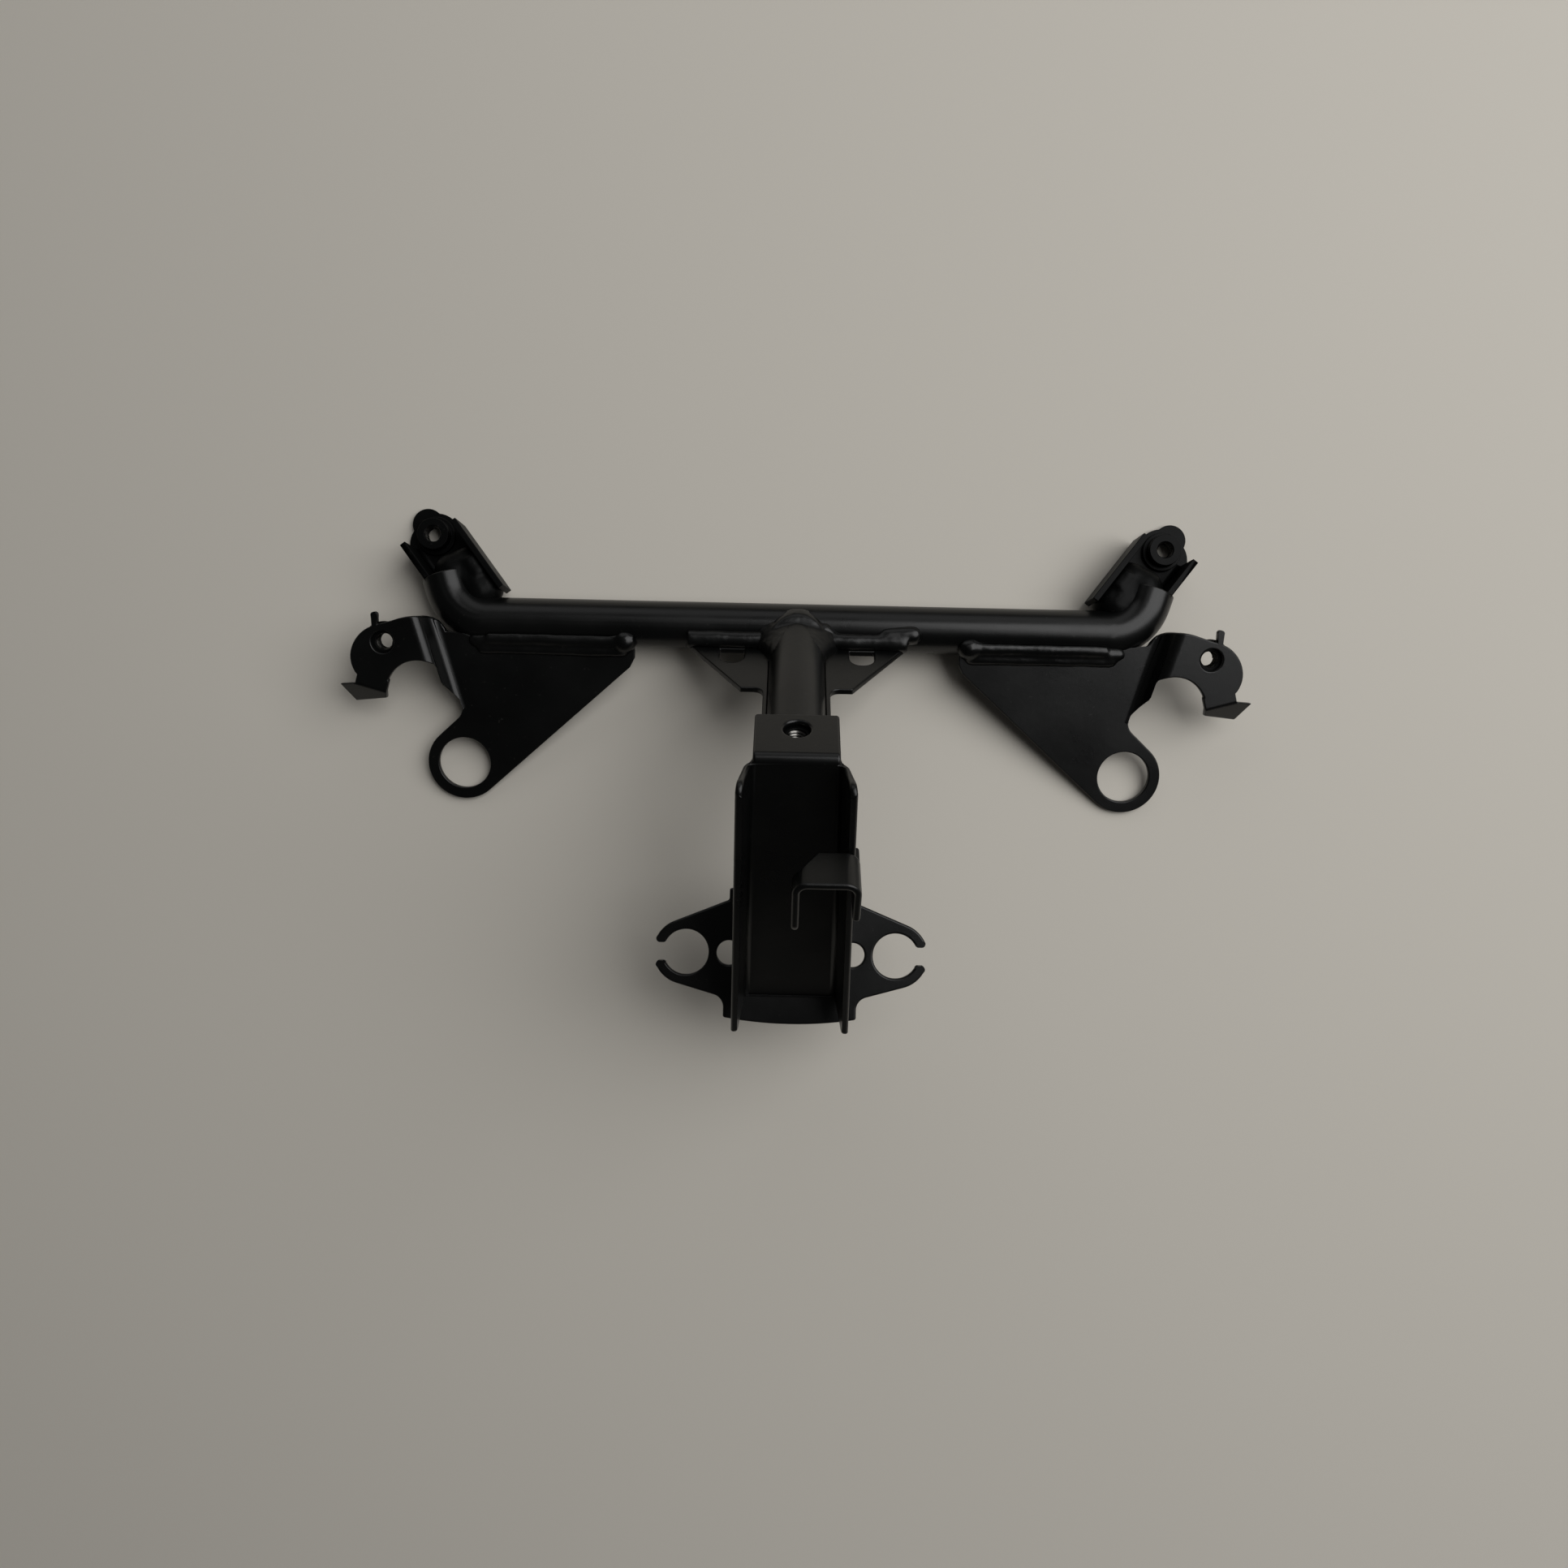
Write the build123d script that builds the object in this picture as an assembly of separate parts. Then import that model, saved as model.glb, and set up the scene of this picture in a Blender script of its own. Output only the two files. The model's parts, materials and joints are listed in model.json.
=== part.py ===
from build123d import *
import math
import os

# Welded steel bracket for a motorbike headlight, in millimetres and degrees.
# The crossbar lies along X, Y runs up the plan and Z towards the viewer.
# Everything is first built about the middle of the crossbar's axis, and the
# finished pieces are then moved so that the origin is where the tab's thread begins.

# Stock: folded sheet, two tubes and one weld nut
SHEET = 2.5
BEND_RADIUS = 2.0
CROSSBAR_DIAMETER = 19.05
CROSSBAR_WALL = 2.0
STEM_DIAMETER = 22.2
STEM_WALL = 2.0
THREAD_BORE = 6.8
NUT_HOLE = 9.2
NUT_DIAMETER = 13.0
NUT_FLANGE_DIAMETER = 16.0
NUT_FLANGE = 2.0
NUT_HEIGHT = 6.5

# Crossbar: a straight tube whose two ends are bent up the plan
CROSSBAR_CORNER_X = 139.0
CROSSBAR_BEND_RADIUS = 18.0
CROSSBAR_BEND_DEG = 72.0
CROSSBAR_END = 19.0

# Stem: leaves the crossbar towards the viewer and down the plan
STEM_LEAN_DEG = 38.0
STEM_DROP = 3.5
STEM_START = 2.0
STEM_LENGTH = 111.0

# Gussets beside the stem, in the plane of its axis
GUSSET_REACH = 44.5
GUSSET_CORNER_X = 21.5
GUSSET_CORNER_Z = 42.0
GUSSET_NECK = 1.8
GUSSET_HOLE_X = 26.0
GUSSET_HOLE_Z = 16.6
GUSSET_HOLE_WIDTH = 10.0
GUSSET_HOLE_DEPTH = 10.2

# Channel across the end of the stem, with a bolt tab folded back over it
WEB_LENGTH = 114.5
WEB_WIDTH_TOP = 29.5
WEB_WIDTH_END = 34.5
WALL_DEPTH = 20.0
WALL_SPLAY_DEG = 6.5
WALL_TOP_LEAN = 7.0
WALL_TOP_RADIUS = 4.0
WALL_END_RADIUS = 3.0
TAB_GAP = 8.0
TAB_WIDTH = 29.0
TAB_LENGTH = 24.8
TAB_HOLE_FROM_TIP = 8.6
TAB_FOLD_RADIUS = 3.2

# Cable hook, folded from the channel's right wall
HOOK_FIN_DOWN = 22.0
HOOK_STRIP = 17.0
HOOK_LIFT = 1.0
HOOK_OUT = 1.4
HOOK_LEG_X = -0.8
HOOK_LEG = 22.0
HOOK_ROOT = 16.0
HOOK_CHAMFER_X = 8.0
HOOK_CHAMFER_Z = 9.0
HOOK_BEND_RADIUS = 2.5
HOOK_TIP_RADIUS = 3.6

# Cable plate under the channel's end: the clips' line lies up from that end, and the
# plate's edges are measured from the clips' line
CABLE_TRIM = 1.8
CLIP_X = 40.4
CLIP_UP = 14.4
CLIP_RADIUS = 8.7
CLIP_ARM = 4.0
CLIP_MOUTH = 7.0
CLIP_TIP_RADIUS = 1.5
CABLE_HOLE_X = 23.8
CABLE_HOLE_DIAMETER = 9.4
CABLE_TOP_X = 24.0
CABLE_TOP_UP = 20.4
CABLE_HORN = 4.5
CABLE_HORN_WIDTH = 2.5
CABLE_WING_DOWN = 17.4
CABLE_END_X = 25.7
CABLE_END_DOWN = 25.0
CABLE_END_BOW = 2.2
CABLE_FILLET = 5.0

# Side plate: a leaning triangle with a ring, a step and a hook, in its own plane
PLATE_LEAN_DEG = 13.0
PLATE_TOP_Y = -8.0
PLATE_INNER_X = 66.0
PLATE_INNER_DROP = 6.5
PLATE_INNER_CORNER = 4.0
PLATE_OVERLAP = 12.0
PLATE_OUTER_X = 131.0
RING_X = 137.0
RING_Y = -51.8
RING_RADIUS = 15.2
RING_HOLE_DIAMETER = 21.2
NOTCH_X = 135.2
NOTCH_Y = -29.5
NOTCH_RADIUS = 6.0
FLANK_X = 143.6
FLANK_Y = -18.3
FLANK_RADIUS = 5.0
STEP_X = 143.8
STEP_Y = -7.0
STEP_DEG = 15.2
STEP_RUN = 4.0
STEP_RISE = 8.0
STEP_RADIUS = 4.5
HOOK_HOLE_X = 166.0
HOOK_HOLE_Y = -1.4
HOOK_SHOULDER = (-33.5, 3.0)
HOOK_ARM = [(-23.4, 4.0), (-17.0, 9.8), (-9.8, 10.2), (-1.2, 7.7)]
HOOK_EYE = [(5.7, 5.5), (12.0, -1.1)]
THROAT_IN = 13.5
THROAT_DOWN = 20.3
THROAT_RADIUS = 13.0
THROAT_SWEEP_DEG = 121.0
THROAT_CORNER = 2.0
LEG_WIDTH = 12.5
LEG_RISE = 3.6
LEG_START_DEG = 17.0
NUB_OUT = 2.8
NUB_UP = 10.6
NUB_WIDTH = 2.6
LIP_LENGTH = 11.4
LIP_FLARE = 6.4
LIP_FLARE_DOWN = 2.6
LIP_INNER = 2.8
LIP_DEG = 40.0
LIP_RADIUS = 2.5
LIP_ROOT = 5.0

# End bracket: a U channel over the crossbar's end, along an axis of its own
BRACKET_IN = 14.5
BRACKET_TURN_DEG = 53.0
BRACKET_FIT = 0.3
BRACKET_WALL_TOP = 7.0
BRACKET_INNER_START = 8.0
BRACKET_OUTER_START = 26.0
BRACKET_INNER_END = 41.5
BRACKET_OUTER_END = 45.5
BRACKET_FLOOR_START = 12.0
BRACKET_NUT_AT = 45.0
BRACKET_CORNER_OUT = 3.0
BRACKET_CORNER_BACK = 1.5
BRACKET_LUG_END = 58.0
BRACKET_LUG_RADIUS = 6.5

# Weld beads
BEAD_RADIUS = 3.4
BEAD_OUT = 7.4
BEAD_UP = 5.2
GUSSET_BEAD_RADIUS = 4.4
GUSSET_BEAD_OUT = 6.4
GUSSET_BEAD_UP = 6.8
JOINT_BEAD = 2.6
END_BEAD_IN = 1.0
END_FILL_RADIUS = 4.6

# Sizes worked out from the values above
CROSSBAR_RADIUS = CROSSBAR_DIAMETER / 2
STEM_RADIUS = STEM_DIAMETER / 2
WEB_FRONT = STEM_LENGTH + SHEET
TAB_OUTER_Y = -STEM_DROP + STEM_RADIUS + TAB_GAP + SHEET
TAB_HOLE_Z = WEB_FRONT - TAB_LENGTH + TAB_HOLE_FROM_TIP
BRACKET_HALF = CROSSBAR_RADIUS + BRACKET_FIT + SHEET
BRACKET_FLOOR_TOP = -CROSSBAR_RADIUS - BRACKET_FIT
REST_Z = BRACKET_FLOOR_TOP - SHEET
PLATE_LEAN = math.radians(PLATE_LEAN_DEG)
RING_FOOT = (RING_Y - RING_RADIUS) * math.sin(PLATE_LEAN) - SHEET * math.cos(PLATE_LEAN)
PLATE_Z = REST_Z - RING_FOOT
STEM_LEAN = math.radians(STEM_LEAN_DEG)
STEM_FRAME = Location((0, 0, 0), (STEM_LEAN_DEG, 0, 0))
WEB_END_Y = TAB_OUTER_Y - WEB_LENGTH
WEB_END = (STEM_FRAME * Pos(0, WEB_END_Y, STEM_LENGTH)).position
CABLE_PLATE_Z = WEB_END.Z + CABLE_TRIM
CLIP_Y = WEB_END.Y + CLIP_UP
BEND_START_X = CROSSBAR_CORNER_X - CROSSBAR_BEND_RADIUS * math.tan(math.radians(CROSSBAR_BEND_DEG) / 2)
PLATE_FRAME = Location((0, PLATE_TOP_Y, PLATE_Z), (PLATE_LEAN_DEG, 0, 0))
BRACKET_FRAME = Location((CROSSBAR_CORNER_X - BRACKET_IN, 0, 0), (0, 0, BRACKET_TURN_DEG))


def sheet_strip(points, radius, side):
    """Face of a folded strip: a rounded polyline thickened to one side."""
    line = FilletPolyline(*points, radius=radius)
    return make_face(offset(line, amount=SHEET, side=side, closed=True))


def largest_solid(shape):
    """The main solid of a shape that a cut has parted."""
    return shape.solids().sort_by(SortBy.VOLUME)[-1]


def tangent_point(point, centre, radius, turn):
    """Where a line from a point touches a circle: turn is 1 or -1 for its two sides."""
    away = Vector(*centre) - Vector(*point)
    angle = math.atan2(away.Y, away.X) + turn * math.asin(radius / away.length)
    run = math.sqrt(away.length**2 - radius**2)
    return (point[0] + run * math.cos(angle), point[1] + run * math.sin(angle))


def crossbar_rod(radius):
    """Round bar along the crossbar's line: the tube's outside, its bore or its clearance."""
    bend = math.radians(CROSSBAR_BEND_DEG)
    end_x = CROSSBAR_CORNER_X + CROSSBAR_END * math.cos(bend)
    end_y = CROSSBAR_END * math.sin(bend)
    points = [(-end_x, end_y), (-CROSSBAR_CORNER_X, 0), (CROSSBAR_CORNER_X, 0), (end_x, end_y)]
    path = FilletPolyline(*points, radius=CROSSBAR_BEND_RADIUS)
    return sweep((path ^ 0) * Circle(radius), path=path)


def stem_rod(radius, start, end):
    rod = Cylinder(radius, end - start, align=(Align.CENTER, Align.CENTER, Align.MIN))
    return STEM_FRAME * Pos(0, -STEM_DROP, start) * rod


def weld_nut():
    """Flanged weld nut that stands on Z = 0, with its bore tapped through."""
    standing = (Align.CENTER, Align.CENTER, Align.MIN)
    flange = Cylinder(NUT_FLANGE_DIAMETER / 2, NUT_FLANGE, align=standing)
    body = Cylinder(NUT_DIAMETER / 2, NUT_HEIGHT, align=standing)
    bore = Cylinder(THREAD_BORE / 2, 3 * NUT_HEIGHT)
    return flange + body - bore


def gusset(stem, crossbar):
    """Triangular plate on the right of the stem, with a narrow leg up to the channel."""
    slope = (GUSSET_REACH - GUSSET_CORNER_X) / (GUSSET_CORNER_Z - CROSSBAR_RADIUS)
    neck_x = STEM_RADIUS + GUSSET_NECK
    outline = Polyline(
        (0, STEM_START),
        (GUSSET_REACH + slope * (CROSSBAR_RADIUS - STEM_START), STEM_START),
        (GUSSET_CORNER_X, GUSSET_CORNER_Z),
        (neck_x, GUSSET_CORNER_Z),
        (neck_x, STEM_LENGTH),
        (0, STEM_LENGTH),
        close=True,
    )
    face = make_face(outline)
    inner_corner = face.vertices().sort_by_distance((neck_x, GUSSET_CORNER_Z))[0]
    face = fillet(inner_corner, GUSSET_NECK * 2)
    hole_radius = GUSSET_HOLE_WIDTH / 2
    hole_straight = GUSSET_HOLE_DEPTH - hole_radius
    hole = Pos(0, hole_straight / 2) * Circle(hole_radius) + Rectangle(GUSSET_HOLE_WIDTH, hole_straight)
    hole -= Pos(0, -hole_straight / 2 - hole_radius) * Rectangle(GUSSET_HOLE_WIDTH, 2 * hole_radius)
    face -= Pos(GUSSET_HOLE_X, GUSSET_HOLE_Z) * hole
    plane = Plane(origin=(0, -STEM_DROP, 0), x_dir=(1, 0, 0), z_dir=(0, -1, 0))
    plate = extrude(plane * face, amount=SHEET / 2, both=True)
    return STEM_FRAME * plate - stem - crossbar


def channel_half():
    """Right half of the channel: a section run along the taper, cut to the wall's side view."""
    top_y = TAB_OUTER_Y - TAB_FOLD_RADIUS
    edge_z = WEB_FRONT + WALL_DEPTH
    back_z = WEB_FRONT - 2 * SHEET
    taper = math.atan2((WEB_WIDTH_END - WEB_WIDTH_TOP) / 2, WEB_LENGTH)
    splay = WALL_DEPTH * math.tan(math.radians(WALL_SPLAY_DEG))
    half = WEB_WIDTH_TOP / 2
    section = sheet_strip([(-half, 0), (half, 0), (half + splay, WALL_DEPTH)], BEND_RADIUS, Side.RIGHT)
    down_taper = (math.sin(taper), -math.cos(taper), 0)
    across_taper = (math.cos(taper), math.sin(taper), 0)
    start = Plane(origin=(0, top_y, WEB_FRONT), x_dir=across_taper, z_dir=down_taper)
    run = extrude(start * section, amount=2 * WEB_LENGTH, both=True)
    top_corner = (top_y + WALL_TOP_LEAN, edge_z)
    end_corner = (WEB_END_Y, edge_z)
    side_view = make_face(
        Polyline(
            (WEB_END_Y, back_z),
            (top_y, back_z),
            (top_y, WEB_FRONT),
            top_corner,
            end_corner,
            close=True,
        )
    )
    for corner, radius in [(top_corner, WALL_TOP_RADIUS), (end_corner, WALL_END_RADIUS)]:
        side_view = fillet(side_view.vertices().sort_by_distance(corner)[0], radius)
    return run & extrude(Plane.YZ * side_view, amount=WEB_WIDTH_END)


def channel_half_width(down):
    """Half the channel's inner width at its walls' edges, a distance down from the tab."""
    share = down / WEB_LENGTH
    web = WEB_WIDTH_TOP + (WEB_WIDTH_END - WEB_WIDTH_TOP) * share
    return web / 2 + WALL_DEPTH * math.tan(math.radians(WALL_SPLAY_DEG))


def cable_hook():
    """Strip that rises from the right wall, crosses the channel and turns down it."""
    edge_z = WEB_FRONT + WALL_DEPTH
    fin_y = TAB_OUTER_Y - HOOK_FIN_DOWN
    wall_x = channel_half_width(HOOK_FIN_DOWN) + SHEET + HOOK_OUT
    points = [
        (wall_x, fin_y - HOOK_ROOT),
        (wall_x, fin_y),
        (HOOK_LEG_X, fin_y),
        (HOOK_LEG_X, fin_y - HOOK_LEG),
    ]
    profile = sheet_strip(points, HOOK_BEND_RADIUS + SHEET, Side.LEFT)
    strip = extrude(Pos(0, 0, edge_z + HOOK_LIFT) * profile, HOOK_STRIP - HOOK_LIFT)
    corner = Polyline(
        (HOOK_LEG_X - SHEET, edge_z - SHEET),
        (HOOK_CHAMFER_X, edge_z - SHEET),
        (HOOK_CHAMFER_X, edge_z),
        (HOOK_LEG_X + SHEET, edge_z + HOOK_CHAMFER_Z),
        (HOOK_LEG_X - SHEET, edge_z + HOOK_CHAMFER_Z),
        close=True,
    )
    front = Plane(origin=(0, fin_y + SHEET, 0), x_dir=(1, 0, 0), z_dir=(0, -1, 0))
    strip -= extrude(front * make_face(corner), amount=HOOK_LEG + 3 * SHEET)
    leg_corner = (HOOK_LEG_X, fin_y - HOOK_LEG, edge_z + HOOK_STRIP)
    leg_end = strip.edges().filter_by(Axis.X).sort_by_distance(leg_corner)[0]
    strip = fillet(leg_end, HOOK_TIP_RADIUS)
    root = Pos(wall_x - SHEET / 2, fin_y - HOOK_ROOT / 2 - HOOK_BEND_RADIUS, edge_z - SHEET)
    return strip + root * Box(SHEET, HOOK_ROOT - 2 * HOOK_BEND_RADIUS, 4 * SHEET)


def mount_channel():
    """Tapered U with a tab folded back from its web and a cable hook on its right wall."""
    right_half = channel_half()
    channel = right_half + mirror(right_half, about=Plane.YZ)
    fold = [
        (WEB_FRONT - TAB_LENGTH, TAB_OUTER_Y),
        (WEB_FRONT, TAB_OUTER_Y),
        (WEB_FRONT, TAB_OUTER_Y - TAB_FOLD_RADIUS - 2 * SHEET),
    ]
    side = Plane(origin=(0, 0, 0), x_dir=(0, 0, 1), z_dir=(-1, 0, 0))
    tab = extrude(side * sheet_strip(fold, TAB_FOLD_RADIUS, Side.RIGHT), amount=TAB_WIDTH / 2, both=True)
    bolt_hole = Pos(0, TAB_OUTER_Y, TAB_HOLE_Z) * Rot(90, 0, 0) * Cylinder(NUT_HOLE / 2, 4 * SHEET)
    folded = STEM_FRAME * (channel + tab - bolt_hole + cable_hook())
    below_plate = Pos(0, CLIP_Y, CABLE_PLATE_Z - WEB_LENGTH / 2) * Box(WEB_LENGTH, WEB_LENGTH, WEB_LENGTH)
    return folded - below_plate


def tab_nut():
    seat = Pos(0, TAB_OUTER_Y - SHEET, TAB_HOLE_Z) * Rot(90, 0, 0)
    return STEM_FRAME * seat * weld_nut()


def cable_plate():
    """Flat plate with a spring clip at each end and a hole inside each clip."""
    clip = (CLIP_X, CLIP_Y)
    clip_outer = CLIP_RADIUS + CLIP_ARM
    top_y = CLIP_Y + CABLE_TOP_UP
    end_y = CLIP_Y - CABLE_END_DOWN
    horn_x = CABLE_TOP_X - CABLE_HORN_WIDTH
    top = (CABLE_TOP_X, top_y)
    waist = (CABLE_END_X, CLIP_Y - CABLE_WING_DOWN)
    tail = (CABLE_END_X, end_y)
    tip = (0, end_y - CABLE_END_BOW)
    top_touch = tangent_point(top, clip, clip_outer, 1)
    low_touch = tangent_point(waist, clip, clip_outer, -1)
    edge = Polyline(tip, (0, top_y), (horn_x, top_y), (horn_x, top_y + CABLE_HORN))
    edge += Polyline((horn_x, top_y + CABLE_HORN), (CABLE_TOP_X, top_y + CABLE_HORN), top, top_touch)
    edge += ThreePointArc(top_touch, (CLIP_X + clip_outer, CLIP_Y), low_touch)
    edge += Polyline(low_touch, waist, tail)
    edge += TangentArc(tip, tail, tangent=(1, 0))
    half = make_face(edge)
    half = fillet(half.vertices().sort_by_distance(waist)[0], CABLE_FILLET)
    half -= Pos(CLIP_X, CLIP_Y) * Circle(CLIP_RADIUS)
    half -= Pos(CLIP_X + CLIP_RADIUS + CLIP_ARM / 2, CLIP_Y) * Rectangle(4 * CLIP_ARM, CLIP_MOUTH)
    arm_ends = half.vertices().group_by(Axis.X)[-1] + half.vertices().group_by(Axis.X)[-2]
    half = fillet(arm_ends, CLIP_TIP_RADIUS)
    half -= Pos(CABLE_HOLE_X, CLIP_Y) * Circle(CABLE_HOLE_DIAMETER / 2)
    outline = half + mirror(half, about=Plane.YZ)
    return extrude(Pos(0, 0, CABLE_PLATE_Z) * outline, amount=-SHEET)


def hook_point(out, up):
    """A point of the right hook, measured from the centre of its bolt hole."""
    return (HOOK_HOLE_X + out, HOOK_HOLE_Y + up)


def throat_point(angle_deg):
    """A point of the round throat inside the right hook."""
    angle = math.radians(angle_deg)
    out = THROAT_RADIUS * math.cos(angle) - THROAT_IN
    return hook_point(out, THROAT_RADIUS * math.sin(angle) - THROAT_DOWN)


def side_plate_outline():
    """Plan of the right side plate: triangle, ring, notch, hook and nub."""
    ring = (RING_X, RING_Y)
    inner_top = (PLATE_INNER_X, -PLATE_INNER_DROP)
    inner_low = (PLATE_INNER_X + PLATE_INNER_CORNER / 2, -PLATE_INNER_DROP - PLATE_INNER_CORNER)
    notch = (NOTCH_X, NOTCH_Y)
    flank = (FLANK_X, FLANK_Y)
    ring_in = tangent_point(inner_low, ring, RING_RADIUS, -1)
    ring_out = tangent_point(notch, ring, RING_RADIUS, 1)
    throat_end = throat_point(THROAT_SWEEP_DEG)
    leg_in = throat_point(LEG_START_DEG)
    leg_out = (leg_in[0] + LEG_WIDTH, leg_in[1] + LEG_RISE)
    arm = [hook_point(*point) for point in HOOK_ARM]
    eye = [hook_point(*point) for point in HOOK_EYE]
    lines = Polyline(throat_end, flank, notch, ring_out)
    lines += ThreePointArc(ring_out, (RING_X, RING_Y - RING_RADIUS), ring_in)
    lines += Polyline(ring_in, inner_low, inner_top, (PLATE_INNER_X, PLATE_OVERLAP))
    lines += Polyline((PLATE_INNER_X, PLATE_OVERLAP), (PLATE_OUTER_X, PLATE_OVERLAP))
    lines += Polyline((PLATE_OUTER_X, PLATE_OVERLAP), hook_point(*HOOK_SHOULDER), arm[0])
    lines += Spline(*arm, *eye, leg_out)
    lines += Line(leg_out, leg_in)
    lines += ThreePointArc(leg_in, throat_point(THROAT_SWEEP_DEG / 2), throat_end)
    face = make_face(lines)
    corners = [(throat_end, THROAT_CORNER), (flank, FLANK_RADIUS), (notch, NOTCH_RADIUS)]
    for corner, radius in corners:
        face = fillet(face.vertices().sort_by_distance(corner)[0], radius)
    face += Pos(*hook_point(NUB_OUT, NUB_UP - NUB_WIDTH)) * SlotOverall(3 * NUB_WIDTH, NUB_WIDTH, 90)
    face -= Pos(RING_X, RING_Y) * Circle(RING_HOLE_DIAMETER / 2)
    face -= Pos(HOOK_HOLE_X, HOOK_HOLE_Y) * Circle(NUT_HOLE / 2)
    return face


def hook_lip():
    """Lip folded back from the end of the right hook's leg, cut to its plan."""
    fold_width = math.hypot(LEG_WIDTH, LEG_RISE)
    run = LIP_LENGTH * math.cos(math.radians(LIP_DEG))
    drop = LIP_LENGTH * math.sin(math.radians(LIP_DEG))
    plan = Polyline(
        (0, -LIP_ROOT),
        (fold_width, -LIP_ROOT),
        (fold_width, 0),
        (fold_width + LIP_FLARE, LIP_FLARE_DOWN),
        (fold_width, run),
        (0, LIP_INNER),
        close=True,
    )
    along = (LEG_WIDTH, LEG_RISE, 0)
    back = (-LEG_WIDTH, -LEG_RISE, 0)
    outward = (LEG_RISE, -LEG_WIDTH, 0)
    corner = (*throat_point(0), 0)
    fold = [(-LIP_ROOT, STEP_RISE), (0, STEP_RISE), (2 * run, STEP_RISE - 2 * drop)]
    strip = Plane(origin=corner, x_dir=outward, z_dir=back) * sheet_strip(fold, LIP_RADIUS, Side.RIGHT)
    cut = Plane(origin=corner, x_dir=along, z_dir=(0, 0, -1)) * make_face(plan)
    return extrude(strip, amount=2 * LEG_WIDTH, both=True) & extrude(cut, amount=2 * LIP_LENGTH, both=True)


def side_plate(crossbar):
    """Right side plate: flat to its notch, stepped up to the hook, with the hook's lip."""
    step = math.radians(STEP_DEG)
    across = (math.cos(step), -math.sin(step), 0)
    along = (-math.sin(step), -math.cos(step), 0)
    reach = CROSSBAR_CORNER_X
    crease = Plane(origin=(STEP_X, STEP_Y, 0), x_dir=across, z_dir=along)
    bend = [(-reach, 0), (0, 0), (STEP_RUN, STEP_RISE), (reach, STEP_RISE)]
    stepped = extrude(crease * sheet_strip(bend, STEP_RADIUS, Side.RIGHT), amount=reach, both=True)
    outline = side_plate_outline()
    above_notch = (STEP_Y - NOTCH_Y) / math.cos(step)
    hook_side = Plane(origin=(STEP_X, STEP_Y, 0), x_dir=across, z_dir=(0, 0, 1))
    hook_side = hook_side * Pos(-2 * STEP_RADIUS, -above_notch) * Rectangle(reach, reach, align=Align.MIN)
    hook = stepped & extrude(outline & hook_side, amount=2 * STEP_RISE, both=True)
    plate = extrude(outline - hook_side, amount=-SHEET) + hook + hook_lip()
    return PLATE_FRAME * plate - crossbar


def hook_nut():
    seat = Pos(HOOK_HOLE_X, HOOK_HOLE_Y, STEP_RISE - SHEET) * Rot(180, 0, 0)
    return PLATE_FRAME * seat * weld_nut()


def end_bracket(crossbar_clearance):
    """Right end bracket: a U with a short outer wall and a rounded lug beyond its nut."""
    top = BRACKET_WALL_TOP
    points = [(-BRACKET_HALF, top), (-BRACKET_HALF, REST_Z), (BRACKET_HALF, REST_Z), (BRACKET_HALF, top)]
    section = sheet_strip(points, BEND_RADIUS + SHEET, Side.LEFT)
    plane = Plane(origin=(0, 0, 0), x_dir=(0, 1, 0), z_dir=(1, 0, 0))
    channel = extrude(plane * section, amount=BRACKET_OUTER_END)
    inner_wall = Pos(0, BRACKET_HALF, 0)
    outer_wall = Pos(0, -BRACKET_HALF, 0)
    walls_only = Pos(0, 0, BRACKET_FLOOR_TOP + BEND_RADIUS)
    tall = (Align.MIN, Align.CENTER, Align.MIN)
    channel -= walls_only * outer_wall * Box(BRACKET_OUTER_START, BRACKET_HALF, 4 * BRACKET_HALF, align=tall)
    inner_cut = Box(BRACKET_INNER_START, BRACKET_HALF, 8 * BRACKET_HALF, align=tall)
    channel -= inner_wall * Pos(0, 0, 2 * REST_Z) * inner_cut
    end_cut = Box(BRACKET_HALF, BRACKET_HALF, 8 * BRACKET_HALF, align=tall)
    channel -= inner_wall * Pos(BRACKET_INNER_END, 0, 2 * REST_Z) * end_cut
    floor_cut = Box(BRACKET_FLOOR_START, 4 * BRACKET_HALF, BEND_RADIUS + 2 * SHEET, align=tall)
    channel -= Pos(0, -BRACKET_HALF / 2, REST_Z - SHEET) * floor_cut
    round_end = Pos(BRACKET_NUT_AT, 0) * Circle(BRACKET_HALF - SHEET)
    round_end += Pos(BRACKET_NUT_AT - BRACKET_CORNER_BACK, -BRACKET_CORNER_OUT) * Circle(BRACKET_HALF - SHEET)
    lug_end = Pos(BRACKET_LUG_END - BRACKET_LUG_RADIUS, 0) * Circle(BRACKET_LUG_RADIUS)
    lug_neck = Pos((BRACKET_NUT_AT + BRACKET_LUG_END - BRACKET_LUG_RADIUS) / 2, 0)
    lug_neck *= Rectangle(BRACKET_LUG_END - BRACKET_LUG_RADIUS - BRACKET_NUT_AT, 2 * BRACKET_LUG_RADIUS)
    lug = extrude(Pos(0, 0, REST_Z) * (round_end + lug_neck + lug_end), amount=SHEET)
    hole = Pos(BRACKET_NUT_AT, 0, REST_Z) * Cylinder(NUT_HOLE / 2, 4 * SHEET)
    return largest_solid(BRACKET_FRAME * (channel + lug - hole) - crossbar_clearance)


def end_nut():
    return BRACKET_FRAME * Pos(BRACKET_NUT_AT, 0, BRACKET_FLOOR_TOP) * weld_nut()


def plate_weld(crossbar, plate):
    """Bead along the top of the right side plate, as far as the crossbar's bend."""
    length = BEND_START_X - PLATE_INNER_X
    bead = Pos(PLATE_INNER_X + length / 2, -BEAD_OUT, BEAD_UP) * Rot(0, 90, 0) * Cylinder(BEAD_RADIUS, length)
    return largest_solid(bead - crossbar - plate)


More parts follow.
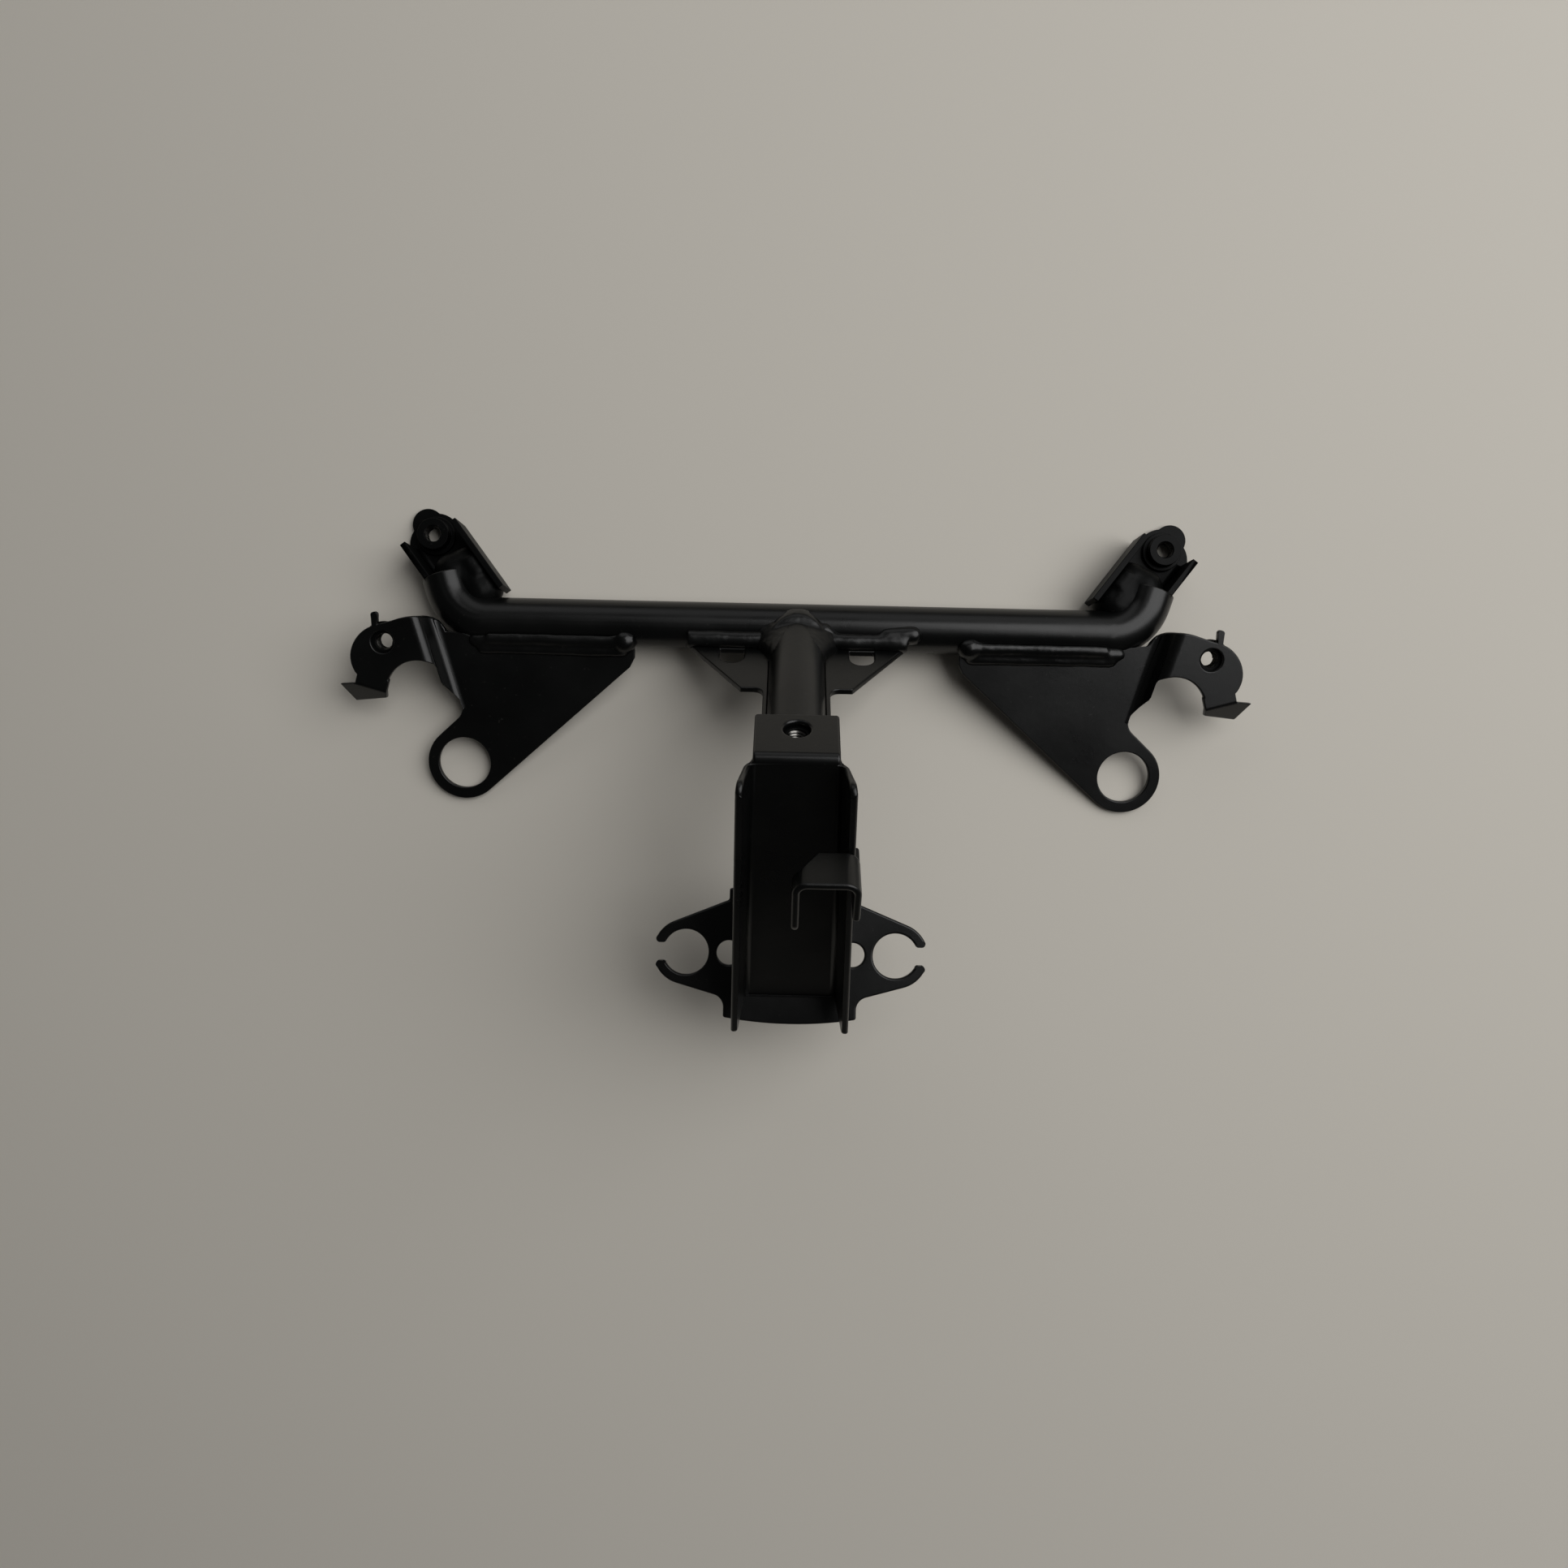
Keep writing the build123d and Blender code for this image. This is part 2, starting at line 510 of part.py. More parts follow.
def gusset_weld(crossbar, stem, plate):
    """Bead along the right gusset's foot on the crossbar."""
    length = GUSSET_REACH - STEM_RADIUS
    along_foot = Pos(STEM_RADIUS + length / 2, -GUSSET_BEAD_OUT, GUSSET_BEAD_UP) * Rot(0, 90, 0)
    return largest_solid(along_foot * Cylinder(GUSSET_BEAD_RADIUS, length) - crossbar - stem - plate)


def stem_weld(crossbar, stem, others):
    """Fillet that follows the coped joint of the stem and the crossbar."""
    swollen_stem = stem_rod(STEM_RADIUS + JOINT_BEAD, STEM_START, STEM_LENGTH / 2)
    swollen_bar = Rot(0, 90, 0) * Cylinder(CROSSBAR_RADIUS + JOINT_BEAD, 4 * STEM_DIAMETER)
    bead = (swollen_stem & swollen_bar) - crossbar - stem
    for other in others:
        bead = bead - other
    return bead


def channel_weld(stem, gussets):
    """Fillet ring round the stem's end on the back of the channel's web."""
    cone = Cone(
        STEM_RADIUS,
        STEM_RADIUS + JOINT_BEAD,
        JOINT_BEAD,
        align=(Align.CENTER, Align.CENTER, Align.MAX),
    )
    ring = STEM_FRAME * Pos(0, -STEM_DROP, STEM_LENGTH) * cone - stem
    for plate in gussets:
        ring = ring - plate
    return ring


def cable_weld(channel, plate):
    """Bead in the corner between the back of the channel's web and the cable plate."""
    bead_y = (CABLE_PLATE_Z * math.cos(STEM_LEAN) - STEM_LENGTH) / math.sin(STEM_LEAN)
    bead = Pos(0, bead_y + JOINT_BEAD / 2, CABLE_PLATE_Z + JOINT_BEAD / 2) * Rot(0, 90, 0)
    return largest_solid(bead * Cylinder(JOINT_BEAD, WEB_WIDTH_TOP) - channel - plate)


def end_weld(crossbar, bracket):
    """Fill between the crossbar's end and the bracket's long wall, as far as the short wall."""
    across = BRACKET_HALF - SHEET + END_BEAD_IN - END_FILL_RADIUS
    start = BRACKET_INNER_START + CROSSBAR_RADIUS
    length = BRACKET_OUTER_START - start
    seat = BRACKET_FRAME * Pos(start + length / 2, across, BRACKET_WALL_TOP - END_FILL_RADIUS)
    fill = seat * Rot(0, 90, 0) * Cylinder(END_FILL_RADIUS, length)
    return largest_solid(fill - crossbar - bracket)


def build_nodes():
    crossbar = crossbar_rod(CROSSBAR_RADIUS)
    stem = stem_rod(STEM_RADIUS, STEM_START, STEM_LENGTH)
    stem_bore = stem_rod(STEM_RADIUS - STEM_WALL, 0, STEM_LENGTH)
    right_gusset = gusset(stem, crossbar)
    right_plate = side_plate(crossbar)
    right_bracket = end_bracket(crossbar_rod(CROSSBAR_RADIUS + BRACKET_FIT / 2))
    channel = mount_channel()
    plate = cable_plate()
    right_gusset_weld = gusset_weld(crossbar, stem, right_gusset)
    right = {
        "gusset": right_gusset,
        "side_plate": right_plate,
        "end_bracket": right_bracket,
        "hook_nut": hook_nut(),
        "end_nut": end_nut(),
        "plate_weld": plate_weld(crossbar, right_plate),
        "gusset_weld": right_gusset_weld,
        "end_weld": end_weld(crossbar, right_bracket),
    }
    nodes = {
        "crossbar_tube": crossbar - crossbar_rod(CROSSBAR_RADIUS - CROSSBAR_WALL),
        "stem_tube": stem - stem_bore - crossbar,
        "mount_channel": channel,
        "tab_nut": tab_nut(),
        "cable_plate": plate,
        "cable_plate_weld": cable_weld(channel, plate),
    }
    for name, solid in right.items():
        nodes["right_" + name] = solid
        nodes["left_" + name] = mirror(solid, about=Plane.YZ)
    gussets = [nodes["right_gusset"], nodes["left_gusset"]]
    beads = [nodes["right_gusset_weld"], nodes["left_gusset_weld"]]
    nodes["stem_weld"] = stem_weld(crossbar, stem, gussets + beads)
    nodes["channel_weld"] = channel_weld(stem, gussets)
    return nodes


thread_mouth = STEM_FRAME * Pos(0, TAB_OUTER_Y - SHEET, TAB_HOLE_Z)
to_origin = Pos(*(-thread_mouth.position))
os.makedirs("parts", exist_ok=True)
for node_name, node_solid in build_nodes().items():
    export_step(to_origin * node_solid, f"parts/{node_name}.step")
print("origin from crossbar axis", thread_mouth.position)
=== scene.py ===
# %% [markdown]
# # A welded headlight bracket in satin black
#
# The real bracket is bent tube and folded sheet, welded together, drilled, fitted with weld nuts
# and then coated black in one go. The shapes come from the CAD frame, which is loaded first and
# never moved. This lesson dresses it: soft edges, a coat that looks sprayed and baked, weld beads
# with their swells and lumps, bare threads, a pale floor and soft studio light.

# %% Load the frame
import json
import math

import bmesh
import bpy
from mathutils import Matrix, Vector, noise


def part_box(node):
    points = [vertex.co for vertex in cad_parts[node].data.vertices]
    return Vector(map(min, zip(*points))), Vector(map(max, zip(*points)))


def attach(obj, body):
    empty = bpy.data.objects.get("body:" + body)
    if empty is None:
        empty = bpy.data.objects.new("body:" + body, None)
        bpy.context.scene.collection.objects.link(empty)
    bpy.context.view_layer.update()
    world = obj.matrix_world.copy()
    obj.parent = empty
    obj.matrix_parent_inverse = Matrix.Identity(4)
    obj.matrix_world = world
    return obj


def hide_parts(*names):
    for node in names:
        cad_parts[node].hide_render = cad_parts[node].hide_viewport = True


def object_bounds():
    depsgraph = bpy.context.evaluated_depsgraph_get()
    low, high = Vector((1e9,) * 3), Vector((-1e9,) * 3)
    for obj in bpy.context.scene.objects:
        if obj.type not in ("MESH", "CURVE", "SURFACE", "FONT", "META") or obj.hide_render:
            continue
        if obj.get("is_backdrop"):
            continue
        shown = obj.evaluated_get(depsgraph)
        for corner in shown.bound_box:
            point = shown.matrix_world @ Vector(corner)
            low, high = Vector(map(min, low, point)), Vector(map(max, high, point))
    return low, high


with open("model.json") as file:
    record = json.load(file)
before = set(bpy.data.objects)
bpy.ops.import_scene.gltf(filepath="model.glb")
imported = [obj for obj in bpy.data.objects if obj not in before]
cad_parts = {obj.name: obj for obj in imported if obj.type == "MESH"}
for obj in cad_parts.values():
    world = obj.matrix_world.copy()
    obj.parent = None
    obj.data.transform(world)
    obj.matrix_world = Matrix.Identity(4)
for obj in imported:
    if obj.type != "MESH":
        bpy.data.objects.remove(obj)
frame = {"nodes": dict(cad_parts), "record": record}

CAD_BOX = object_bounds()
NODES = frame["nodes"]
MOUNTS = {mount["name"]: mount for mount in frame["record"]["mounts"]}
MM = 0.001
print("nodes:", len(NODES), "mounts:", len(MOUNTS))

# %% [markdown]
# ## Camera
#
# The photograph looks straight down on the bracket from about half a metre. A lens that wide and
# that near makes the raised channel look larger than the tube behind it, so the camera has to
# stand at the real distance. The bracket lies turned by a little over a degree in the picture, and
# the camera is turned instead, because the frame stays where the CAD put it.

# %% Place the camera
CAMERA_PLACE = Vector((-4.0, -16.8, 399.7)) * MM
CAMERA_TURN = math.radians(1.27)
CLIP_START = 10.0 * MM
SENSOR_MM = 36.0
FOCAL_PX = 1458.0
FRAME_PX = 1932.0

bpy.ops.object.camera_add(location=CAMERA_PLACE, rotation=(0, 0, CAMERA_TURN))
camera = bpy.context.object
camera.name = "photo_camera"
camera.data.sensor_width = SENSOR_MM
camera.data.lens = SENSOR_MM * FOCAL_PX / FRAME_PX
camera.data.clip_start = CLIP_START
bpy.context.scene.camera = camera
print("lens:", round(camera.data.lens, 2), "mm")

# %% [markdown]
# ## Floor
#
# The bracket lies on a plain pale floor, in a warm grey. The black coat mirrors this floor wherever
# a face leans towards it, so its tone matters for the bracket as well.

# %% Lay the floor
FLOOR_SIZE = 4.0
FLOOR_Z = CAD_BOX[0][2]
FLOOR_TONE = (0.66, 0.625, 0.56, 1.0)
FLOOR_ROUGHNESS = 0.9
FLOOR_SHINE = 0.2

bpy.ops.object.select_all(action="DESELECT")
bpy.ops.mesh.primitive_plane_add(size=FLOOR_SIZE, location=(0, 0, FLOOR_Z))
floor = bpy.context.object
floor.name = "floor"
bpy.ops.object.transform_apply(location=True)
floor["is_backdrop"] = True

floor_paint = bpy.data.materials.new("pale_floor")
floor_paint.use_nodes = True
floor_shader = floor_paint.node_tree.nodes["Principled BSDF"]
floor_shader.inputs["Base Color"].default_value = FLOOR_TONE
floor_shader.inputs["Roughness"].default_value = FLOOR_ROUGHNESS
floor_shader.inputs["Specular IOR Level"].default_value = FLOOR_SHINE
floor.data.materials.append(floor_paint)
print("floor at", round(FLOOR_Z, 4))

# %% [markdown]
# ## Light
#
# The raised channel throws a soft shadow to the lower left, about as far as the channel is high,
# so a large soft lamp stands to the right, some fifty degrees up. A wide window of light at the
# top of the picture brightens the tube's upper flank, and a weak strip overhead adds a little to its
# front. A black coat shows its surroundings more than its own colour, and the channel's web is the
# darkest face in the photograph, so the rest of the room stays dim.

# %% Hang the lamps and set the sky
SKY_TONE = (1.0, 0.985, 0.96, 1.0)
SKY_STRENGTH = 0.035
LAMPS = {
    "soft_lamp": {"towards": (0.6, 0.25, 0.76), "away": 1.5, "size": (1.5, 1.5), "watts": 19.0},
    "window": {"towards": (-0.1, 0.88, 0.47), "away": 1.3, "size": (1.5, 0.7), "watts": 2.0},
    "top_strip": {"towards": (0.15, 0.25, 0.95), "away": 1.2, "size": (1.2, 0.3), "watts": 0.7},
}


def hang_lamp(name, towards, away, size, watts):
    """A soft rectangular lamp in a direction from the bracket, turned to face it."""
    towards = Vector(towards).normalized()
    bpy.ops.object.light_add(type="AREA", location=towards * away)
    lamp = bpy.context.object
    lamp.name = name
    lamp.data.shape = "RECTANGLE"
    lamp.data.size = size[0]
    lamp.data.size_y = size[1]
    lamp.data.energy = watts
    lamp.rotation_euler = towards.to_track_quat("Z", "Y").to_euler()


for name, settings in LAMPS.items():
    hang_lamp(name, **settings)
world = bpy.data.worlds.new("studio_sky")
bpy.context.scene.world = world
world.use_nodes = True
sky = world.node_tree.nodes["Background"]
sky.inputs["Color"].default_value = SKY_TONE
sky.inputs["Strength"].default_value = SKY_STRENGTH
bpy.context.scene.view_settings.view_transform = "Standard"
print("lamps:", sorted(LAMPS))

# %% [markdown]
# ## Soft edges
#
# Laser-cut sheet is deburred before it is coated, and the coat itself flows round the edges, so
# no edge on the real thing is sharp. Each edge then catches a thin line of light. The CAD meshes
# stay as they are. Each tube, sheet and nut is copied, its loose triangles are merged and its flat
# faces made whole, and the copy's sharp edges are bevelled. Where two sharp edges meet in a narrow
# corner a bevel would shoot far out, so those edges are left as they are, and the copy is held
# inside the box of the CAD piece.

# %% Pick the edges that can be rounded
SHARP = math.radians(32.0)
NARROW = math.radians(40.0)
SHORTEST = 0.25 * MM
MERGE = 0.002 * MM
FLAT = math.radians(0.6)
KINDS = ("sheet", "nut", "weld")


def kind_of(name):
    """What a node is: a nut, a weld bead, or tube and sheet."""
    if name.endswith("_nut"):
        return "nut"
    if name.endswith("_weld"):
        return "weld"
    return "sheet"


def copy_node(name, ending):
    """A selected copy of a CAD node with its triangles merged, left in edit mode."""
    piece = bpy.data.objects.new(name + ending, NODES[name].data.copy())
    bpy.context.scene.collection.objects.link(piece)
    bpy.ops.object.select_all(action="DESELECT")
    piece.select_set(True)
    bpy.context.view_layer.objects.active = piece
    bpy.ops.object.mode_set(mode="EDIT")
    bpy.ops.mesh.select_all(action="SELECT")
    bpy.ops.mesh.remove_doubles(threshold=MERGE)
    return piece


def is_sharp(edge):
    """Whether two faces meet at an edge with a clear angle."""
    return len(edge.link_faces) == 2 and edge.calc_face_angle() > SHARP


def in_narrow_corner(edge):
    """Whether an edge meets another sharp edge in a narrow corner."""
    for corner in edge.verts:
        along = edge.other_vert(corner).co - corner.co
        for other in corner.link_edges:
            if other is not edge and is_sharp(other):
                if along.angle(other.other_vert(corner).co - corner.co) < NARROW:
                    return True
    return False


print("kinds:", {kind: sum(kind_of(name) == kind for name in NODES) for kind in KINDS})

# %% Round the edges on copies
EDGE_ROUND = {"sheet": 0.55 * MM, "nut": 0.3 * MM}
OTHER_ROUND = {
    "mount_channel": 1.0 * MM,
    "cable_plate": 0.8 * MM,
    "left_end_bracket": 0.3 * MM,
    "right_end_bracket": 0.3 * MM,
}
ROUND_STEPS = 3


def hold_inside(piece, low, high):
    """Bring any point that left a box back to its side."""
    for vertex in piece.data.vertices:
        for axis in range(3):
            vertex.co[axis] = min(max(vertex.co[axis], low[axis]), high[axis])


def round_edges(name, width):
    """A copy of a CAD node with soft edges, shown in its place."""
    piece = copy_node(name, "_soft")
    bpy.ops.mesh.dissolve_limited(angle_limit=FLAT)
    bpy.ops.mesh.select_mode(type="EDGE")
    bpy.ops.mesh.select_all(action="DESELECT")
    mesh = bmesh.from_edit_mesh(piece.data)
    for edge in mesh.edges:
        long_enough = edge.calc_length() > SHORTEST
        edge.select = long_enough and is_sharp(edge) and not in_narrow_corner(edge)
    bmesh.update_edit_mesh(piece.data)
    bpy.ops.mesh.bevel(offset=width, segments=ROUND_STEPS, affect="EDGES", clamp_overlap=False)
    bpy.ops.object.mode_set(mode="OBJECT")
    hold_inside(piece, *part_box(name))
    bpy.ops.object.shade_smooth()
    shade = piece.modifiers.new("flat_stays_flat", "WEIGHTED_NORMAL")
    shade.keep_sharp = False
    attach(piece, "root")
    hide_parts(name)
    return piece


SOFT = {}
for name in NODES:
    if kind_of(name) in EDGE_ROUND:
        SOFT[name] = round_edges(name, OTHER_ROUND.get(name, EDGE_ROUND[kind_of(name)]))
print("softened:", len(SOFT), "faces:", sum(len(piece.data.polygons) for piece in SOFT.values()))

# %% [markdown]
# ## The coat
#
# The coat is sprayed on and baked in an oven. It has a faint orange-peel waviness of a few
# millimetres, a much finer grain on top, a sheen that changes a little from place to place and a
# sprinkle of dust. All the black finishes share these, so they live in one node group that gives
# a colour, a roughness and a height, and each material sets how strong they are.

# %% Start the coat's node group
NODE_STEP = 300.0


def new_group(name, inputs, outputs):
    """An empty shader node group with named float inputs and typed outputs."""
    group = bpy.data.node_groups.new(name, "ShaderNodeTree")
    for label in inputs:
        group.interface.new_socket(label, in_out="INPUT", socket_type="NodeSocketFloat")
    for label, kind in outputs.items():
        group.interface.new_socket(label, in_out="OUTPUT", socket_type=kind)
    return group


def add_node(tree, kind, cell, **settings):
    """A node of a kind in a column and row of the editor, with its settings."""
    node = tree.nodes.new(kind)
    node.location = Vector(cell) * NODE_STEP
    for key, value in settings.items():
        setattr(node, key, value)
    return node


coat = new_group(
    "baked_coat",
    ("Peel", "Grain", "Sheen Low", "Sheen High"),
    {"Colour": "NodeSocketColor", "Roughness": "NodeSocketFloat", "Height": "NodeSocketFloat"},
)
coat_in = add_node(coat, "NodeGroupInput", (-3, 0))
coat_out = add_node(coat, "NodeGroupOutput", (2, 0))
print("group:", coat.name, "inputs:", len(coat_in.outputs) - 1, "outputs:", len(coat_out.inputs) - 1)

# %% Give the coat its peel and grain
PEEL_PER_M = 420.0
PEEL_DETAIL = 2.0
GRAIN_PER_M = 2600.0
GRAIN_DETAIL = 3.0


def add_noise(tree, cell, scale, detail):
    """A noise texture read at the object's own coordinates."""
    texture = add_node(tree, "ShaderNodeTexNoise", cell)
    texture.inputs["Scale"].default_value = scale
    texture.inputs["Detail"].default_value = detail
    where = add_node(tree, "ShaderNodeTexCoord", (cell[0] - 1, cell[1]))
    tree.links.new(where.outputs["Object"], texture.inputs["Vector"])
    return texture.outputs["Fac"]


def add_math(tree, cell, operation, first, second):
    """A math node on two sockets."""
    node = add_node(tree, "ShaderNodeMath", cell, operation=operation)
    tree.links.new(first, node.inputs[0])
    tree.links.new(second, node.inputs[1])
    return node.outputs[0]


peel = add_noise(coat, (-2, 2), PEEL_PER_M, PEEL_DETAIL)
grain = add_noise(coat, (-2, 1), GRAIN_PER_M, GRAIN_DETAIL)
peel_part = add_math(coat, (-1, 2), "MULTIPLY", peel, coat_in.outputs["Peel"])
grain_part = add_math(coat, (-1, 1), "MULTIPLY", grain, coat_in.outputs["Grain"])
height = add_math(coat, (0, 1), "ADD", peel_part, grain_part)
coat.links.new(height, coat_out.inputs["Height"])
print("peel and grain, per metre:", PEEL_PER_M, GRAIN_PER_M)

# %% Give the coat its sheen, tone and dust
CLOUD_PER_M = 38.0
CLOUD_DETAIL = 4.0
SHEEN_SPREAD = (0.3, 0.7)
TONE_SPREAD = (0.3, 0.75)
COAT_TONES = ((0.0014, 0.0016, 0.0016, 1.0), (0.0026, 0.0028, 0.0027, 1.0))
DUST_PER_M = 650.0
DUST_DETAIL = 1.0
DUST_SPREAD = (0.72, 0.8)
DUST_TONE = (0.012, 0.0118, 0.011, 1.0)


def add_range(tree, cell, value, spread):
    """A map range node that stretches a spread of values."""
    node = add_node(tree, "ShaderNodeMapRange", cell)
    node.inputs["From Min"].default_value = spread[0]
    node.inputs["From Max"].default_value = spread[1]
    tree.links.new(value, node.inputs["Value"])
    return node


cloud = add_noise(coat, (-2, -1), CLOUD_PER_M, CLOUD_DETAIL)
sheen = add_range(coat, (0, 0), cloud, SHEEN_SPREAD)
coat.links.new(coat_in.outputs["Sheen Low"], sheen.inputs["To Min"])
coat.links.new(coat_in.outputs["Sheen High"], sheen.inputs["To Max"])
coat.links.new(sheen.outputs["Result"], coat_out.inputs["Roughness"])

tint = add_node(coat, "ShaderNodeValToRGB", (0, -1))
for stop, position, tone in zip(tint.color_ramp.elements, TONE_SPREAD, COAT_TONES):
    stop.position = position
    stop.color = tone
coat.links.new(cloud, tint.inputs["Fac"])

dust = add_noise(coat, (-2, -2), DUST_PER_M, DUST_DETAIL)
specks = add_range(coat, (0, -2), dust, DUST_SPREAD)
dusted = add_node(coat, "ShaderNodeMix", (1, -1), data_type="RGBA")
dusted.inputs["B"].default_value = DUST_TONE
coat.links.new(specks.outputs["Result"], dusted.inputs["Factor"])
coat.links.new(tint.outputs["Color"], dusted.inputs["A"])
coat.links.new(dusted.outputs["Result"], coat_out.inputs["Colour"])
print("coat nodes:", len(coat.nodes))

# %% [markdown]
# The beads take the same coat with more waviness. The nuts and the hollow ends of the bracket look
# darker than the sheet around them, as shade falls into these hollows, so their coat is rougher and
# mirrors less. The weaker mirroring is painted shade.

# %% Make the black finishes
COAT_IOR = 1.42
BUMP_STRENGTH = 0.35
BUMP_DISTANCE = 0.12 * MM
COATS = {
    "black_sheet_coat": {"Peel": 0.5, "Grain": 0.35, "Sheen Low": 0.26, "Sheen High": 0.35},
    "dull_black_coat": {"Peel": 0.3, "Grain": 0.3, "Sheen Low": 0.4, "Sheen High": 0.5},
    "black_weld_coat": {"Peel": 0.8, "Grain": 0.5, "Sheen Low": 0.26, "Sheen High": 0.36},
}
# The dull coat's low shine is painted shade: it darkens the nuts and the hollow bracket ends where
# shade falls.
SHINE = {"black_sheet_coat": 0.5, "dull_black_coat": 0.12, "black_weld_coat": 0.5}
HOLLOW_ENDS = ("left_end_bracket", "right_end_bracket", "left_end_weld", "right_end_weld")


def black_finish(name):
    """A coated-steel material: the shared coat group, a bump and one shader."""
    material = bpy.data.materials.new(name)
    material.use_nodes = True
    tree = material.node_tree
    shader = tree.nodes["Principled BSDF"]
    layer = add_node(tree, "ShaderNodeGroup", (-2, 0), node_tree=coat)
    for label, value in COATS[name].items():
        layer.inputs[label].default_value = value
    bump = add_node(tree, "ShaderNodeBump", (-1, -1))
    bump.inputs["Strength"].default_value = BUMP_STRENGTH
    bump.inputs["Distance"].default_value = BUMP_DISTANCE
    tree.links.new(layer.outputs["Colour"], shader.inputs["Base Color"])
    tree.links.new(layer.outputs["Roughness"], shader.inputs["Roughness"])
    tree.links.new(layer.outputs["Height"], bump.inputs["Height"])
    tree.links.new(bump.outputs["Normal"], shader.inputs["Normal"])
    shader.inputs["IOR"].default_value = COAT_IOR
    shader.inputs["Specular IOR Level"].default_value = SHINE[name]
    return material


FINISHES = {name: black_finish(name) for name in COATS}


def finish_of(name):
    """The black finish that a node takes."""
    # The nuts and the hollow ends take the coat whose low shine is painted shade.
    if name in HOLLOW_ENDS or kind_of(name) == "nut":
        return FINISHES["dull_black_coat"]
    if kind_of(name) == "weld":
        return FINISHES["black_weld_coat"]
    return FINISHES["black_sheet_coat"]


def paint(piece, material):
    """Give a piece one material."""
    piece.data.materials.clear()
    piece.data.materials.append(material)


for name, node in NODES.items():
    for piece in (node, SOFT.get(name, node)):
        paint(piece, finish_of(name))
print("finishes:", sorted(FINISHES))

# %% [markdown]
# ## Weld beads
#
# The CAD beads are plain rounds. A real bead swells and thins along its length, ends in a fat drop
# where the torch stopped, and flows into the metal beside it. Here the stem runs into the crossbar
# in a wide saddle, the bead on the right of the stem is lumpier than the one on the left, and each
# end of the tube is closed with a dome and filled against its bracket. Each bead starts as a copy
# of its CAD node. Runs of extra metal are joined to it, a voxel remesh melts them into one skin, a
# smooth modifier lets the skin flow, and then every point of the skin is raised or lowered a
# little.
#
# The runs are given in millimetres from the middle of the crossbar: start, end and two radii. Those
# of the plates and ends are for the right side and are mirrored to the left.

# %% Say where the extra metal is
CROSSBAR_MIDDLE = Vector((0.0, 47.61, -86.28))
PLATE_RUNS = (
    ((70.0, -7.7, 4.8), (71.5, -7.9, 4.4), 5.0, 4.2),
    ((71.0, -11.5, 3.5), (128.0, -11.5, 3.5), 2.9, 2.6),
    ((127.0, -8.6, 4.2), (131.0, -8.6, 4.0), 3.4, 2.8),
)
END_RUNS = (
    ((141.6, 13.0, -0.6), (141.2, 19.0, -1.4), 8.5, 8.6),
    ((136.1, 22.7, -1.6), (128.8, 13.1, -1.2), 7.4, 7.6),
    ((139.0, 20.9, -0.8), (131.2, 11.3, -0.8), 7.4, 7.4),
    ((137.6, 21.8, -1.0), (130.0, 12.2, -0.8), 7.4, 7.6),
)
GUSSET_RUNS = (
    ((10.9, -2.5, 7.5), (13.0, -4.0, 7.2), 4.0, 3.6),
    ((36.0, -3.4, 7.3), (46.5, -3.2, 7.2), 3.4, 4.0),
)
RUN_SIDES = 32
RUN_RINGS = 16
LEFT = -1
RIGHT = 1


def add_run(start, end, start_radius, end_radius):
    """A tapering run of weld with round ends."""
    start = (CROSSBAR_MIDDLE + Vector(start)) * MM
    end = (CROSSBAR_MIDDLE + Vector(end)) * MM
    along = end - start
    bpy.ops.object.select_all(action="DESELECT")
    bpy.ops.mesh.primitive_cone_add(
        vertices=RUN_SIDES,
        radius1=start_radius * MM,
        radius2=end_radius * MM,
        depth=along.length,
        location=0.5 * (start + end),
        rotation=along.to_track_quat("Z", "Y").to_euler(),
    )
    run = [bpy.context.object]
    for place, radius in ((start, start_radius), (end, end_radius)):
        bpy.ops.mesh.primitive_uv_sphere_add(
            segments=RUN_SIDES,
            ring_count=RUN_RINGS,
            radius=radius * MM,
            location=place,
        )
        run.append(bpy.context.object)
    return run


def add_runs(runs, side):
    """All the pieces of a bead's runs, on the right or mirrored to the left."""
    pieces = []
    for start, end, start_radius, end_radius in runs:
        start = (side * start[0], start[1], start[2])
        end = (side * end[0], end[1], end[2])
        pieces.extend(add_run(start, end, start_radius, end_radius))
    return pieces


print("runs on the right:", len(PLATE_RUNS) + len(END_RUNS) + len(GUSSET_RUNS))

# %% Model the saddle and collect the lumps
STEM_DROP = 3.5
STEM_RADIUS = 11.1
STEM_LEAN = Matrix.Rotation(math.radians(38.0), 3, "X")
STEM_OUT = STEM_LEAN @ Vector((0.0, 1.0, 0.0))
STEM_ALONG = STEM_LEAN @ Vector((0.0, 0.0, 1.0))
STEM_FOOT = (CROSSBAR_MIDDLE - STEM_OUT * STEM_DROP) * MM
SADDLE_START = 4.0
SADDLE_LENGTH = 25.0
SADDLE_WIDE = 18.0
SADDLE_DEEP = 1.0
SADDLE_SINK = 0.9
SADDLE_SIDES = 48
SADDLE_CUTS = 9


def add_saddle():
    """The wide flare where the stem runs into the crossbar."""
    bpy.ops.object.select_all(action="DESELECT")
    bpy.ops.mesh.primitive_cylinder_add(
        vertices=SADDLE_SIDES,
        radius=(STEM_RADIUS - SADDLE_SINK) * MM,
        depth=SADDLE_LENGTH * MM,
        location=STEM_FOOT + STEM_ALONG * (SADDLE_START + 0.5 * SADDLE_LENGTH) * MM,
        rotation=STEM_LEAN.to_euler(),
    )
    saddle = bpy.context.object
    bpy.ops.object.mode_set(mode="EDIT")
    bpy.ops.mesh.select_all(action="SELECT")
    bpy.ops.mesh.subdivide(number_cuts=SADDLE_CUTS)
    bpy.ops.object.mode_set(mode="OBJECT")
    for vertex in saddle.data.vertices:
        flare = (0.5 - vertex.co.z / (SADDLE_LENGTH * MM)) ** 2
        vertex.co.x *= 1.0 + flare * SADDLE_WIDE / STEM_RADIUS
        vertex.co.y *= 1.0 + flare * SADDLE_DEEP / STEM_RADIUS
    return saddle


